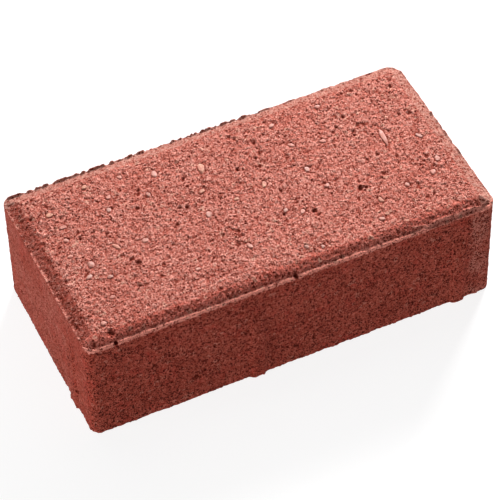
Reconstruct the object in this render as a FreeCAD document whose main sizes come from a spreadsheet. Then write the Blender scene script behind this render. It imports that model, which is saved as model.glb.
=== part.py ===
import FreeCAD, Part

# A pressed concrete paving block: a backing course with joint nibs, a finer facing course with a
# chamfered wearing face, and the stones of the facing mix that show at the surface.
# Millimetres. The origin is the middle of the bed face, +X runs along the block, +Z is up.

import math
import os

import Sketcher

FLAT_ATTACHMENT = "FlatFace"

# Driving dimensions of the block.
BLOCK_SIZES = {
    "module_length": 200,         # length of one block with its joint, along X
    "module_width": 100,          # width of one block with its joint, along Y
    "joint_width": 2,             # gap that the nibs hold open between neighbours
    "block_height": 60,           # bed face to wearing face
    "corner_radius": 4.5,         # upright corners
    "facing_depth": 12,           # facing course, wearing face to its joint with the backing
    "chamfer_inset": 6.4,         # chamfer, measured along the wearing face
    "chamfer_drop": 2.8,          # chamfer, measured down from the wearing face
    "face_corner_radius": 1.5,    # corners of the wearing face
    "flash_width": 0.7,           # upstand pressed up between the tamper shoe and the mould
    "flash_height": 0.7,          # its height above the foot of the chamfer
    "nib_pitch": 100,             # distance between the two nibs of a long side
    "long_side_nib_offset": 18.7,  # module corner to the nearer nib of a long side
    "short_side_nib_offset": 22,  # module corner to the nib of a short side
    "nib_root_width": 9,          # nib against the side of the block
    "nib_face_width": 7.5,        # nib at its contact face
    "nib_setback": 4,             # top of the nib's root below the facing course
    "nib_slope_height": 8,        # height of the sloped top of a nib
    "stone_cut_angle": 30,        # latitude, in degrees, at which the wearing face cuts a stone
}

# Stones that show in the wearing face. Along and across are shares of the half-length and the
# half-width of its flat part; length and width are the sizes at the surface; turn is in degrees.
STONE_SIZES = ("along", "across", "length", "width", "turn")
STONES = {
    "pale_granite_01": (-0.34, 0.75, 4.2, 2.8, 80),
    "pale_granite_02": (-0.84, -0.12, 3.8, 3.2, 85),
    "pale_granite_03": (-0.21, -0.02, 3.3, 3.0, 30),
    "pale_granite_04": (0.57, 0.89, 2.8, 2.4, 10),
    "pale_granite_05": (0.34, 0.11, 3.2, 2.2, 100),
    "pale_granite_06": (0.93, 0.03, 3.6, 2.0, 115),
    "pale_granite_07": (0.77, 0.18, 10.5, 2.4, 83),
    "pale_granite_08": (0.94, -0.35, 3.2, 2.6, 70),
    "grey_limestone_01": (-0.63, 0.49, 2.6, 2.2, 60),
    "grey_limestone_02": (-0.42, 0.51, 2.8, 2.0, 100),
    "grey_limestone_03": (-0.88, -0.27, 3.2, 2.2, 15),
    "grey_limestone_04": (-0.79, -0.36, 2.6, 2.0, 0),
    "grey_limestone_05": (0.13, -0.32, 2.4, 2.0, 40),
    "grey_limestone_06": (0.19, -0.94, 2.4, 2.0, 90),
    "grey_limestone_07": (0.12, -0.87, 2.4, 2.0, 120),
    "buff_sandstone_01": (-0.12, 0.61, 6.2, 3.0, 75),
    "buff_sandstone_02": (-0.18, 0.31, 2.8, 2.4, 30),
    "buff_sandstone_03": (0.11, 0.11, 3.8, 2.2, 60),
    "buff_sandstone_04": (-0.69, -0.01, 4.6, 2.0, 118),
    "buff_sandstone_05": (-0.90, 0.69, 3.2, 2.6, 20),
    "buff_sandstone_06": (-0.68, 0.90, 2.8, 2.4, 0),
    "buff_sandstone_07": (-0.05, 0.05, 2.4, 2.0, 150),
    "buff_sandstone_08": (0.57, -0.62, 3.4, 2.0, 105),
    "pink_granite_01": (-0.60, 0.66, 2.8, 2.0, 30),
    "pink_granite_02": (-0.87, 0.47, 3.4, 2.2, 5),
    "pink_granite_03": (-0.50, 0.87, 2.6, 2.0, 140),
    "pink_granite_04": (-0.89, 0.29, 2.4, 2.2, 0),
    "pink_granite_05": (-0.91, 0.07, 2.6, 2.2, 0),
    "pink_granite_06": (-0.55, -0.06, 3.4, 2.6, 0),
    "pink_granite_07": (-0.40, -0.66, 2.4, 2.0, 0),
    "pink_granite_08": (0.31, 0.85, 3.2, 2.0, 25),
    "pink_granite_09": (0.34, 0.50, 3.8, 2.2, 115),
    "pink_granite_10": (0.49, 0.41, 3.2, 2.6, 160),
    "pink_granite_11": (-0.83, -0.62, 2.8, 2.4, 0),
    "pink_granite_12": (-0.12, -0.60, 4.0, 2.2, 100),
    "pink_granite_13": (0.20, -0.41, 3.0, 2.0, 50),
    "pink_granite_14": (0.73, -0.55, 2.8, 2.4, 90),
    "pink_granite_15": (0.88, -0.50, 3.2, 2.6, 80),
    "pink_granite_16": (0.52, -0.86, 3.2, 2.0, 145),
    "pink_granite_17": (0.38, -0.19, 2.6, 2.2, 0),
    "pink_granite_18": (-0.93, -0.90, 2.8, 2.4, 0),
}

# Lengths that follow from the driving dimensions, as expressions on the sheet.
BLOCK_LENGTH = "(Sizes.module_length - Sizes.joint_width)"
BLOCK_WIDTH = "(Sizes.module_width - Sizes.joint_width)"
FACE_LENGTH = f"({BLOCK_LENGTH} - 2 * Sizes.chamfer_inset)"
FACE_WIDTH = f"({BLOCK_WIDTH} - 2 * Sizes.chamfer_inset)"
BACKING_HEIGHT = "(Sizes.block_height - Sizes.facing_depth)"
CHAMFER_FOOT = "(Sizes.block_height - Sizes.chamfer_drop)"
NIB_ROOT_HEIGHT = f"({BACKING_HEIGHT} - Sizes.nib_setback)"
NIB_FACE_HEIGHT = f"({NIB_ROOT_HEIGHT} - Sizes.nib_slope_height)"
CUT_ANGLE = "Sizes.stone_cut_angle * 1deg"


def make_sheet(doc):
    """Write every driving dimension into one spreadsheet, each cell with its alias."""
    sheet = doc.addObject("Spreadsheet::Sheet", "Sizes")
    sizes = dict(BLOCK_SIZES)
    for stone, values in STONES.items():
        for size, value in zip(STONE_SIZES, values):
            sizes[f"{stone}_{size}"] = value
    for row, (alias, value) in enumerate(sizes.items(), start=1):
        sheet.set(f"A{row}", alias)
        sheet.set(f"B{row}", str(value))
        sheet.setAlias(f"B{row}", alias)
    doc.recompute()
    return sheet


def origin_feature(body, role):
    """Return the plane or axis of the body's own origin that has this role."""
    for feature in body.Origin.OriginFeatures:
        if feature.Role == role:
            return feature
    raise RuntimeError(f"{body.Name} has no {role}")


def level_sketch(body, name, level):
    """Add a sketch that lies flat in the body at the height that the expression gives."""
    sketch = body.newObject("Sketcher::SketchObject", name)
    sketch.AttachmentSupport = [(origin_feature(body, "XY_Plane"), "")]
    sketch.MapMode = FLAT_ATTACHMENT
    sketch.setExpression(".AttachmentOffset.Base.z", level)
    return sketch


def bind_constraint(sketch, name, constraint, expression):
    """Add a dimension to the sketch and bind it to the expression."""
    index = sketch.addConstraint(constraint)
    sketch.renameConstraint(index, name)
    sketch.setExpression(f"Constraints.{name}", expression)


def rounded_rectangle(sketch, name, length, width, radius):
    """Draw a rounded rectangle about the sketch's origin; its sizes are expressions."""
    half_length = sketch.evalExpression(length) / 2
    half_width = sketch.evalExpression(width) / 2
    arc_radius = sketch.evalExpression(radius)
    arc_x = half_length - arc_radius
    arc_y = half_width - arc_radius
    up = FreeCAD.Vector(0, 0, 1)

    side_ends = [
        ((-arc_x, -half_width), (arc_x, -half_width)),
        ((half_length, -arc_y), (half_length, arc_y)),
        ((arc_x, half_width), (-arc_x, half_width)),
        ((-half_length, arc_y), (-half_length, -arc_y)),
    ]
    sides = []
    for start, end in side_ends:
        line = Part.LineSegment(FreeCAD.Vector(*start, 0), FreeCAD.Vector(*end, 0))
        sides.append(sketch.addGeometry(line, False))

    corners = []
    for quarter, (sign_x, sign_y) in enumerate([(1, -1), (1, 1), (-1, 1), (-1, -1)]):
        centre = FreeCAD.Vector(sign_x * arc_x, sign_y * arc_y, 0)
        start_angle = (quarter - 1) * math.pi / 2
        circle = Part.Circle(centre, up, arc_radius)
        arc = Part.ArcOfCircle(circle, start_angle, start_angle + math.pi / 2)
        corners.append(sketch.addGeometry(arc, False))

    for place, corner in enumerate(corners):
        next_side = sides[(place + 1) % len(sides)]
        sketch.addConstraint(Sketcher.Constraint("Tangent", sides[place], 2, corner, 1))
        sketch.addConstraint(Sketcher.Constraint("Tangent", corner, 2, next_side, 1))
    for place, direction in enumerate(["Horizontal", "Vertical", "Horizontal", "Vertical"]):
        sketch.addConstraint(Sketcher.Constraint(direction, sides[place]))
    for corner in corners[1:]:
        sketch.addConstraint(Sketcher.Constraint("Equal", corners[0], corner))
    sketch.addConstraint(Sketcher.Constraint("Symmetric", corners[0], 3, corners[2], 3, -1, 1))

    across = Sketcher.Constraint("DistanceX", sides[3], 1, sides[1], 1, 2 * half_length)
    bind_constraint(sketch, f"{name}_length", across, length)
    along = Sketcher.Constraint("DistanceY", sides[0], 1, sides[2], 1, 2 * half_width)
    bind_constraint(sketch, f"{name}_width", along, width)
    rounding = Sketcher.Constraint("Radius", corners[0], arc_radius)
    bind_constraint(sketch, f"{name}_radius", rounding, radius)


def pad(body, name, sketch, length):
    """Pad the sketch upwards by the expression."""
    feature = body.newObject("PartDesign::Pad", name)
    feature.Profile = sketch
    feature.setExpression("Length", length)
    sketch.Visibility = False
    return feature


def add_nib(body, name, turn, place_x, place_y):
    """Add one joint nib that grows out of a side of the block.

    The wedge grows along its own +Y, so turn is the angle from +Y to the side's outward normal.
    """
    nib = body.newObject("PartDesign::AdditiveWedge", name)
    nib.AttachmentSupport = [(origin_feature(body, "XY_Plane"), "")]
    nib.MapMode = FLAT_ATTACHMENT
    nib.AttachmentOffset = FreeCAD.Placement(
        FreeCAD.Vector(0, 0, 0), FreeCAD.Rotation(FreeCAD.Vector(0, 0, 1), turn)
    )
    nib.setExpression(".AttachmentOffset.Base.x", place_x)
    nib.setExpression(".AttachmentOffset.Base.y", place_y)
    nib.Ymin = 0
    nib.Zmin = 0
    nib.Z2min = 0
    nib.setExpression("Ymax", "Sizes.joint_width")
    nib.setExpression("Xmin", "-Sizes.nib_root_width / 2")
    nib.setExpression("Xmax", "Sizes.nib_root_width / 2")
    nib.setExpression("X2min", "-Sizes.nib_face_width / 2")
    nib.setExpression("X2max", "Sizes.nib_face_width / 2")
    nib.setExpression("Zmax", NIB_ROOT_HEIGHT)
    nib.setExpression("Z2max", NIB_FACE_HEIGHT)


def make_backing_course(doc):
    """Build the coarse lower course with the six nibs that space the block from its neighbours."""
    body = doc.addObject("PartDesign::Body", "BackingCourse")
    body.Label = "backing_course"
    outline = level_sketch(body, "BedOutline", "0")
    rounded_rectangle(outline, "bed", BLOCK_LENGTH, BLOCK_WIDTH, "Sizes.corner_radius")
    pad(body, "BackingSlab", outline, BACKING_HEIGHT)

    # Each side's nibs are set out from the corner at its right-hand end, seen from outside, so
    # the nibs of two neighbours never meet. A half turn of the block brings it onto itself.
    near_nib = "(Sizes.module_length / 2 - Sizes.long_side_nib_offset)"
    far_nib = f"({near_nib} - Sizes.nib_pitch)"
    end_nib = "(Sizes.module_width / 2 - Sizes.short_side_nib_offset)"
    for side, turn, sign in [("Front", 180, "-1"), ("Back", 0, "1")]:
        for place, along in [("Near", near_nib), ("Far", far_nib)]:
            add_nib(body, f"{side}Nib{place}", turn, f"-{sign} * {along}", f"{sign} * {BLOCK_WIDTH} / 2")
    for side, turn, sign in [("Left", 90, "-1"), ("Right", -90, "1")]:
        add_nib(body, f"{side}Nib", turn, f"{sign} * {BLOCK_LENGTH} / 2", f"{sign} * {end_nib}")
    return body


def make_facing_body(doc):
    """Build the facing course before the stones are set: slab, chamfer and flash."""
    body = doc.addObject("PartDesign::Body", "FacingBody")
    underside = level_sketch(body, "FacingUnderside", BACKING_HEIGHT)
    rounded_rectangle(underside, "underside", BLOCK_LENGTH, BLOCK_WIDTH, "Sizes.corner_radius")
    pad(body, "FacingSlab", underside, "Sizes.facing_depth - Sizes.chamfer_drop")

    foot = level_sketch(body, "ChamferFoot", CHAMFER_FOOT)
    rounded_rectangle(foot, "foot", BLOCK_LENGTH, BLOCK_WIDTH, "Sizes.corner_radius")
    face = level_sketch(body, "WearingFace", "Sizes.block_height")
    rounded_rectangle(face, "face", FACE_LENGTH, FACE_WIDTH, "Sizes.face_corner_radius")
    doc.recompute()
    chamfer = body.newObject("PartDesign::AdditiveLoft", "Chamfer")
    chamfer.Profile = foot
    chamfer.Sections = [face]
    chamfer.Ruled = True
    foot.Visibility = False
    face.Visibility = False

    flash_ring = level_sketch(body, "FlashRing", CHAMFER_FOOT)
    rounded_rectangle(flash_ring, "outer", BLOCK_LENGTH, BLOCK_WIDTH, "Sizes.corner_radius")
    rounded_rectangle(
        flash_ring,
        "inner",
        f"({BLOCK_LENGTH} - 2 * Sizes.flash_width)",
        f"({BLOCK_WIDTH} - 2 * Sizes.flash_width)",
        "(Sizes.corner_radius - Sizes.flash_width)",
    )
    pad(body, "Flash", flash_ring, "Sizes.flash_height")
    return body


def make_stone(doc, name):
    """Build one stone: an ellipsoid, long axis level, that the wearing face cuts off flat."""
    stone = doc.addObject("Part::Ellipsoid", name)
    stone.Label = name
    half_length = f"Sizes.{name}_length / 2"
    half_width = f"Sizes.{name}_width / 2"
    stone.setExpression("Radius2", f"{half_length} / cos({CUT_ANGLE})")
    stone.setExpression("Radius3", f"{half_width} / cos({CUT_ANGLE})")
    stone.setExpression("Radius1", "Radius3")
    stone.setExpression("Angle2", "Sizes.stone_cut_angle")
    stone.Placement.Rotation = FreeCAD.Rotation(FreeCAD.Vector(0, 0, 1), 1)
    stone.setExpression(".Placement.Rotation.Angle", f"Sizes.{name}_turn")
    stone.setExpression(".Placement.Base.x", f"Sizes.{name}_along * {FACE_LENGTH} / 2")
    stone.setExpression(".Placement.Base.y", f"Sizes.{name}_across * {FACE_WIDTH} / 2")
    stone.setExpression(
        ".Placement.Base.z", f"Sizes.block_height - {half_width} * tan({CUT_ANGLE})"
    )
    return stone


def make_facing_course(doc, facing_body, stones):
    """Cut the socket of every stone out of the facing course."""
    sockets = doc.addObject("Part::Compound", "StoneSockets")
    sockets.Links = stones
    course = doc.addObject("Part::Cut", "FacingCourse")
    course.Label = "facing_course"
    course.Base = facing_body
    course.Tool = sockets
    return course


def check_document(doc, pieces):
    """Stop if an object failed, or if a piece's shape is missing, broken or in several parts."""
    for item in doc.Objects:
        faults = {"Invalid", "Error"} & set(item.State)
        if faults:
            raise RuntimeError(f"{item.Label}: {sorted(faults)}")
    for piece in pieces:
        if piece.Shape.isNull() or not piece.Shape.isValid():
            raise RuntimeError(f"{piece.Label}: no valid shape")
        if len(piece.Shape.Solids) != 1:
            raise RuntimeError(f"{piece.Label}: {len(piece.Shape.Solids)} solids")


def main():
    """Build the block and write each piece to its own file."""
    doc = FreeCAD.newDocument("PavingBlock")
    make_sheet(doc)
    backing_course = make_backing_course(doc)
    facing_body = make_facing_body(doc)
    stones = [make_stone(doc, name) for name in STONES]
    doc.recompute()
    facing_course = make_facing_course(doc, facing_body, stones)
    doc.recompute()

    pieces = [backing_course, facing_course] + stones
    check_document(doc, pieces)
    os.makedirs("parts", exist_ok=True)
    for piece in pieces:
        piece.Shape.exportStep(f"parts/{piece.Label}.step")
        print(f"{piece.Label}: {piece.Shape.Volume:.1f} mm3")


main()
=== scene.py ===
"""A red pressed-concrete paving block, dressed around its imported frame.

Lengths in this file are millimetres until a mesh is made; Blender objects are in metres. The block stands on
its bed face, +X runs along it, the long side towards -Y is called the front and +Z is up.
"""

import itertools
import logging
import math
from dataclasses import dataclass, field
from enum import Enum
from typing import Any, Iterable, Sequence, Union

import bpy
import numpy as np
from mathutils import Matrix, Vector

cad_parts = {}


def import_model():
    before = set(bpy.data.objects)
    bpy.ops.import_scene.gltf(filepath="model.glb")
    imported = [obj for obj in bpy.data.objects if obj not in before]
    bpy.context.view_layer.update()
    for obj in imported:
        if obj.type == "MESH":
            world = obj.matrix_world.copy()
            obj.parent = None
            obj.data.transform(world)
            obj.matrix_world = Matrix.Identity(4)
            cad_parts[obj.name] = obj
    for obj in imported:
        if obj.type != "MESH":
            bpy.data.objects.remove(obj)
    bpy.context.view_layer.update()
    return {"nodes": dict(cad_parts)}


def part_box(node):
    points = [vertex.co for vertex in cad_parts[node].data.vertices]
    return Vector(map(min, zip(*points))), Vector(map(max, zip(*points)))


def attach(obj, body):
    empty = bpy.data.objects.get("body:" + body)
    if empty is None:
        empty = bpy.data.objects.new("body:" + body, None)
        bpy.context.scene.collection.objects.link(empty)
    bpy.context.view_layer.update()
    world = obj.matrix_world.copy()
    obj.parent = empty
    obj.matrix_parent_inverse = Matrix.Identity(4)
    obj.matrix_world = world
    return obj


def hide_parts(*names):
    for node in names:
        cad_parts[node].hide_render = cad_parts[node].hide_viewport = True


LOG = logging.getLogger("paving_block")
MM = 0.001
BAKE_MAP = "OFBake"

Array = np.ndarray
Colour = tuple[float, float, float]


# ---- Numbers ----


def ease(low: float, high: float, value: Array) -> Array:
    """Rise smoothly from 0 at low to 1 at high; falls instead when low is above high."""
    share = np.clip((value - low) / (high - low), 0.0, 1.0)
    return share * share * (3.0 - 2.0 * share)


def blend(first: Array, second: Array, share: Array) -> Array:
    """Mix two values, all first at a share of 0 and all second at 1."""
    return first + (second - first) * share


@dataclass(frozen=True)
class Noise:
    """Repeatable noise in space; two noises with different seeds have nothing in common."""

    seed: int

    def draw(self, cell: Array, channel: int) -> Array:
        """Give every lattice cell a number of its own.

        Args:
            cell: Whole lattice places, shaped (n, 3).
            channel: Which of the cell's numbers to draw.

        Returns:
            Numbers from 0 to 1, shaped (n,).
        """
        mixed = cell[:, 0] * 73856093 ^ cell[:, 1] * 19349663 ^ cell[:, 2] * 83492791
        mixed = (mixed ^ (self.seed * 2654435 + channel * 97531)) & 0xFFFFFFFF
        for shift, factor in ((16, 0x45D9F3B), (15, 0x2C1B3C6D), (16, 1)):
            mixed = ((mixed ^ (mixed >> shift)) * factor) & 0xFFFFFFFF
        return mixed / float(0x100000000)

    def smooth(self, place: Array, size: float) -> Array:
        """Give soft noise from -1 to 1.

        Args:
            place: Places in millimetres, shaped (n, 3).
            size: What the noise's features measure, roughly.

        Returns:
            The noise at each place.
        """
        scaled = place / size
        cell = np.floor(scaled).astype(np.int64)
        share = scaled - cell
        share = share * share * share * (share * (share * 6.0 - 15.0) + 10.0)
        total = np.zeros(len(place))
        for corner in itertools.product((0, 1), repeat=3):
            step = np.array(corner)
            weight = np.prod(np.where(step == 1, share, 1.0 - share), axis=1)
            total += weight * self.draw(cell + step, 0)
        return total * 2.0 - 1.0

    def layered(self, place: Array, size: float, layers: int) -> Array:
        """Add up soft noise, each layer half the size and about half the strength of the last.

        Args:
            place: Places in millimetres, shaped (n, 3).
            size: What the first layer's features measure.
            layers: How many layers to add.

        Returns:
            The noise at each place.
        """
        total = np.zeros(len(place))
        for layer in range(layers):
            shifted = place + 17.3 * layer
            total += self.smooth(shifted, size / 2.0**layer) * 0.55**layer
        return total

    def grains(self, place: Array, size: float) -> tuple[Array, Array, Array]:
        """Pack space with grains of about one size.

        Args:
            place: Places in millimetres, shaped (n, 3).
            size: Distance between neighbouring grains.

        Returns:
            The distance to the nearest grain's middle, the gap by which the second nearest is further,
            both in millimetres, and the nearest grain's own number from 0 to 1.
        """
        scaled = place / size
        cell = np.floor(scaled).astype(np.int64)
        near = np.full(len(place), 9.0)
        second = np.full(len(place), 9.0)
        own = np.zeros(len(place))
        for step in itertools.product((-1, 0, 1), repeat=3):
            other = cell + np.array(step)
            middle = other + np.stack([self.draw(other, axis) for axis in (1, 2, 3)], axis=1)
            distance = np.linalg.norm(scaled - middle, axis=1)
            closer = distance < near
            second = np.where(closer, near, np.minimum(second, distance))
            own = np.where(closer, self.draw(other, 4), own)
            near = np.where(closer, distance, near)
        return near * size, (second - near) * size, own


# ---- Shader building ----

Value = Union["Signal", float]


@dataclass(frozen=True)
class Signal:
    """One output socket of a material's nodes, on which Python arithmetic adds Math nodes."""

    graph: "Graph"
    socket: bpy.types.NodeSocket

    def _math(self, operation: str, first: Value, second: Value) -> "Signal":
        """Add one Math node that takes two values."""
        return self.graph.node("ShaderNodeMath", {"operation": operation}, {0: first, 1: second})

    def __add__(self, other: Value) -> "Signal":
        """Add a value."""
        return self._math("ADD", self, other)

    def __radd__(self, other: Value) -> "Signal":
        """Add this to a plain number."""
        return self._math("ADD", other, self)

    def __sub__(self, other: Value) -> "Signal":
        """Take a value away."""
        return self._math("SUBTRACT", self, other)

    def __rsub__(self, other: Value) -> "Signal":
        """Take this away from a plain number."""
        return self._math("SUBTRACT", other, self)

    def __mul__(self, other: Value) -> "Signal":
        """Multiply by a value."""
        return self._math("MULTIPLY", self, other)

    def __rmul__(self, other: Value) -> "Signal":
        """Multiply a plain number by this."""
        return self._math("MULTIPLY", other, self)

    def ramp(self, low: float, high: float) -> "Signal":
        """Rise smoothly from 0 at low to 1 at high."""
        inputs = {"Value": self, "From Min": low, "From Max": high}
        return self.graph.node("ShaderNodeMapRange", {"interpolation_type": "SMOOTHSTEP"}, inputs)


class Graph:
    """The nodes of one material."""

    def __init__(self, name: str) -> None:
        """Make a material with nodes and nothing but its output.

        Args:
            name: The material's name.
        """
        self.material = bpy.data.materials.new(name)
        self.material.use_nodes = True
        self.tree = self.material.node_tree
        self.tree.nodes.clear()
        self.output = self.tree.nodes.new("ShaderNodeOutputMaterial")

    def feed(self, socket: bpy.types.NodeSocket, value: Any) -> None:
        """Link a signal to an input socket, or set a plain value on it.

        Args:
            socket: The input.
            value: What it takes.
        """
        if isinstance(value, Signal):
            self.tree.links.new(value.socket, socket)
        else:
            socket.default_value = value

    def node(
        self,
        kind: str,
        settings: dict[str, Any],
        inputs: dict[Union[int, str], Any],
        output: Union[int, str] = 0,
    ) -> Signal:
        """Add one node.

        Args:
            kind: Blender's name of the node type.
            settings: The node's own properties, set first.
            inputs: Values or signals for its sockets, by name or by place.
            output: The output socket to return.

        Returns:
            The chosen output as a signal.
        """
        made = self.tree.nodes.new(kind)
        for name, setting in settings.items():
            setattr(made, name, setting)
        for key, value in inputs.items():
            self.feed(made.inputs[key], value)
        return Signal(self, made.outputs[output])

    def place(self) -> Signal:
        """Give the place on the object, in millimetres."""
        inputs = {"Vector": self.node("ShaderNodeTexCoord", {}, {}, "Object"), "Scale": 1.0 / MM}
        return self.node("ShaderNodeVectorMath", {"operation": "SCALE"}, inputs)

    def noise(self, place: Signal, size: float, detail: float = 2.0, distortion: float = 0.0) -> Signal:
        """Give soft noise from 0 to 1 whose features measure about size millimetres."""
        inputs = {"Vector": place, "Scale": 1.0 / size, "Detail": detail, "Distortion": distortion}
        return self.node("ShaderNodeTexNoise", {}, inputs, "Fac")

    def grains(self, place: Signal, size: float, feature: str = "F1", output: str = "Distance") -> Signal:
        """Pack space with grains.

        Args:
            place: Places in millimetres.
            size: Distance between neighbouring grains.
            feature: What is measured from each place.
            output: Which of the node's outputs to return.

        Returns:
            The chosen output; distances are in grain sizes.
        """
        inputs = {"Vector": place, "Scale": 1.0 / size}
        return self.node("ShaderNodeTexVoronoi", {"feature": feature}, inputs, output)

    def grain_tone(self, place: Signal, size: float) -> Signal:
        """Give every grain a number of its own from 0 to 1."""
        own = self.grains(place, size, output="Color")
        return self.node("ShaderNodeSeparateColor", {}, {"Color": own}, "Red")

    def dots(self, place: Signal, spacing: float, reach: float) -> Signal:
        """Scatter dots of mixed sizes, one to each grain of the spacing, their radius at most reach."""
        radius = self.grain_tone(place, spacing) * reach
        return (radius - self.grains(place, spacing)).ramp(0.0, 0.10)

    def shifted(self, place: Signal, distance: float) -> Signal:
        """Move places, so that a second pattern of the same kind does not fall on the first."""
        inputs = {0: place, 1: (distance, distance * 1.7, distance * 2.3)}
        return self.node("ShaderNodeVectorMath", {"operation": "ADD"}, inputs)

    def warp(self, place: Signal, size: float, reach: float) -> Signal:
        """Shift places to and fro, so that grains lose their straight sides.

        Args:
            place: Places in millimetres.
            size: What the wobble's features measure.
            reach: About twice the furthest shift.

        Returns:
            The shifted places.
        """
        wobble = self.node("ShaderNodeTexNoise", {}, {"Vector": place, "Scale": 1.0 / size}, "Color")
        inputs = {0: wobble, 1: (reach, reach, reach), 2: place}
        return self.node("ShaderNodeVectorMath", {"operation": "MULTIPLY_ADD"}, inputs)

    def attribute(self, name: str) -> Signal:
        """Read a number that the mesh stores at its points."""
        return self.node("ShaderNodeAttribute", {"attribute_name": name}, {}, "Fac")

    def tint(self, first: Any, second: Any, share: Value) -> Signal:
        """Mix two colours, all first at a share of 0 and all second at 1."""
        settings = {"data_type": "RGBA", "clamp_factor": True}
        return self.node("ShaderNodeMix", settings, {0: share, 6: opaque(first), 7: opaque(second)}, 2)

    def bump(self, height: Signal, depth: float, strength: float = 1.0) -> Signal:
        """Turn a height from 0 to 1 into a normal; depth is what 1 means, in millimetres."""
        inputs = {"Height": height, "Distance": depth * MM, "Strength": strength}
        return self.node("ShaderNodeBump", {}, inputs, "Normal")

    def finish(self, inputs: dict[str, Any]) -> bpy.types.Material:
        """Close the material with one Principled shader.

        Args:
            inputs: Values or signals for the shader's sockets.

        Returns:
            The finished material.
        """
        surface = self.node("ShaderNodeBsdfPrincipled", {}, inputs, "BSDF")
        self.tree.links.new(surface.socket, self.output.inputs["Surface"])
        return self.material


def opaque(colour: Any) -> Any:
    """Give a plain colour its fourth number; a signal stays as it is."""
    return colour if isinstance(colour, Signal) else (*colour, 1.0)


# ---- Finishes ----


@dataclass(frozen=True)
class ConcreteFinish:
    """Through-coloured pressed concrete: pigmented paste round sand grains. Its crevices and hollows are
    darkened to near black as painted shade, its sides take a darker, redder copy of its colours as painted
    shade, and grain middles, glints, the flash's lip and the back and right chamfers are lightened as
    painted highlights and sheen.
    """

    name: str
    paste: Colour = (0.580, 0.178, 0.133)
    skin: Colour = (0.435, 0.092, 0.064)
    bloom: Colour = (0.420, 0.192, 0.150)
    # Painted sheen for the back and right chamfers.
    brow: Colour = (0.680, 0.156, 0.112)
    ruddy: Colour = (0.450, 0.052, 0.036)
    # The two side colours are a darker, redder copy of paste and bright: painted shade on the sides.
    side_paste: Colour = (0.390, 0.066, 0.043)
    bright: Colour = (0.950, 0.520, 0.430)
    side_bright: Colour = (0.640, 0.180, 0.125)
    # Painted shade for crevices and hollows; the second colour is for the deepest.
    shade: Colour = (0.300, 0.042, 0.023)
    deep: Colour = (0.085, 0.010, 0.006)
    dusty: Colour = (0.600, 0.245, 0.190)
    # Painted highlight for the flash's crest.
    lip: Colour = (0.920, 0.325, 0.250)
    sand: Colour = (0.740, 0.400, 0.300)
    grain_size: float = 0.95
    speck_size: float = 0.50
    sand_size: float = 1.7
    roughness: float = 0.84

    def make(self) -> bpy.types.Material:
        """Build the material.

        Returns:
            The material; its colour and relief follow the numbers stored at the mesh's points.
        """
        graph = Graph(self.name)
        place = graph.warp(graph.place(), 1.1, 0.45)
        marks = ("hollow", "calm", "skin", "grain", "side", "dust", "bloom", "lip", "brow")
        hollow, calm, skin, grain, upright, dusty, bloom, lip, brow = map(graph.attribute, marks)
        open_face = 1.0 - calm

        tone = graph.grain_tone(place, self.grain_size)
        dome = 1.0 - graph.grains(place, self.grain_size)
        speck = graph.grain_tone(place, self.speck_size)
        speck_dome = 1.0 - graph.grains(place, self.speck_size)
        cloud = graph.noise(place, 26.0, 3.0)
        patch = graph.noise(place, 4.5, 2.0)
        fine = graph.noise(place, 0.42, 3.0)
        broken = graph.noise(place, 1.6, 2.0).ramp(0.45, 0.62)
        seam = graph.grains(place, self.grain_size, "DISTANCE_TO_EDGE").ramp(0.22, 0.02) * broken
        gap = graph.noise(place, 0.82, 1.0).ramp(0.42, 0.34)
        gap = gap + graph.noise(place, 0.48, 1.0).ramp(0.39, 0.31) * 0.6

        dots = graph.dots(graph.shifted(place, 11.0), 1.55, 0.40)
        dots = dots + graph.dots(graph.shifted(place, 23.0), 0.95, 0.44)
        crevice = (seam * 0.30 + gap * 0.55 + dots * 1.10) * (open_face * 0.90 + 0.10)
        # The sides' crevices count more, which deepens their bump and their painted shade.
        crevice = crevice * (upright * 0.80 + 1.0)
        # Grain tone and mottling are the concrete's own; the glints and the lighter middles of grains are
        # painted highlights.
        glints = graph.dots(graph.shifted(place, 37.0), 0.95, 0.48)
        tone_and_highlight = tone * 0.32 + grain * 0.22 + (speck - 0.5) * 0.30 + (fine - 0.5) * 0.35 + (cloud - 0.5) * 0.4
        tone_and_highlight = tone_and_highlight + glints * 0.45 + (dome - 0.55) * 0.35 - 0.08
        tone_and_highlight = (tone_and_highlight + (patch - 0.5) * 0.4) * (open_face * 0.65 + 0.35) * (1.0 - skin * 0.45)
        # Painted sheen on the back and right chamfers.
        skinned = graph.tint(graph.tint(self.paste, self.skin, skin), self.bloom, bloom)
        skinned = graph.tint(skinned, self.brow, brow)
        ruddy = graph.noise(place, 8.0, 3.0).ramp(0.50, 0.66) * 0.7
        # Painted shade: the upright sides take a darker, redder copy of the paste and of the lighter grains.
        # The wearing face keeps the lit copy, whose paler, less red tone is partly painted sheen.
        plain = graph.tint(skinned, graph.tint(self.side_paste, self.ruddy, ruddy), upright)
        lit = graph.tint(self.bright, self.side_bright, upright)
        colour = graph.tint(plain, lit, tone_and_highlight)
        sand = graph.grain_tone(place, self.sand_size).ramp(0.955, 0.975) * 0.7
        # Painted highlight along the flash's crest and the inner ridge.
        colour = graph.tint(colour, self.lip, lip * 0.92)
        colour = graph.tint(colour, self.sand, sand * open_face * (1.0 - upright * 0.7))
        colour = graph.tint(colour, self.dusty, dusty * (0.55 + (fine - 0.5) * 0.8))
        # Painted shade: crevices, pits, voids and the rims round the stones are darkened toward the shade
        # colour and, deepest, toward near black; the sides get more of it.
        painted_shade = (crevice + hollow * 0.75) * (1.0 - lip * 0.40)
        colour = graph.tint(colour, self.shade, painted_shade.ramp(0.05, 0.55) * 0.84)
        colour = graph.tint(colour, self.deep, painted_shade.ramp(0.35, 1.20) * (0.78 + upright * 0.17))

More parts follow.
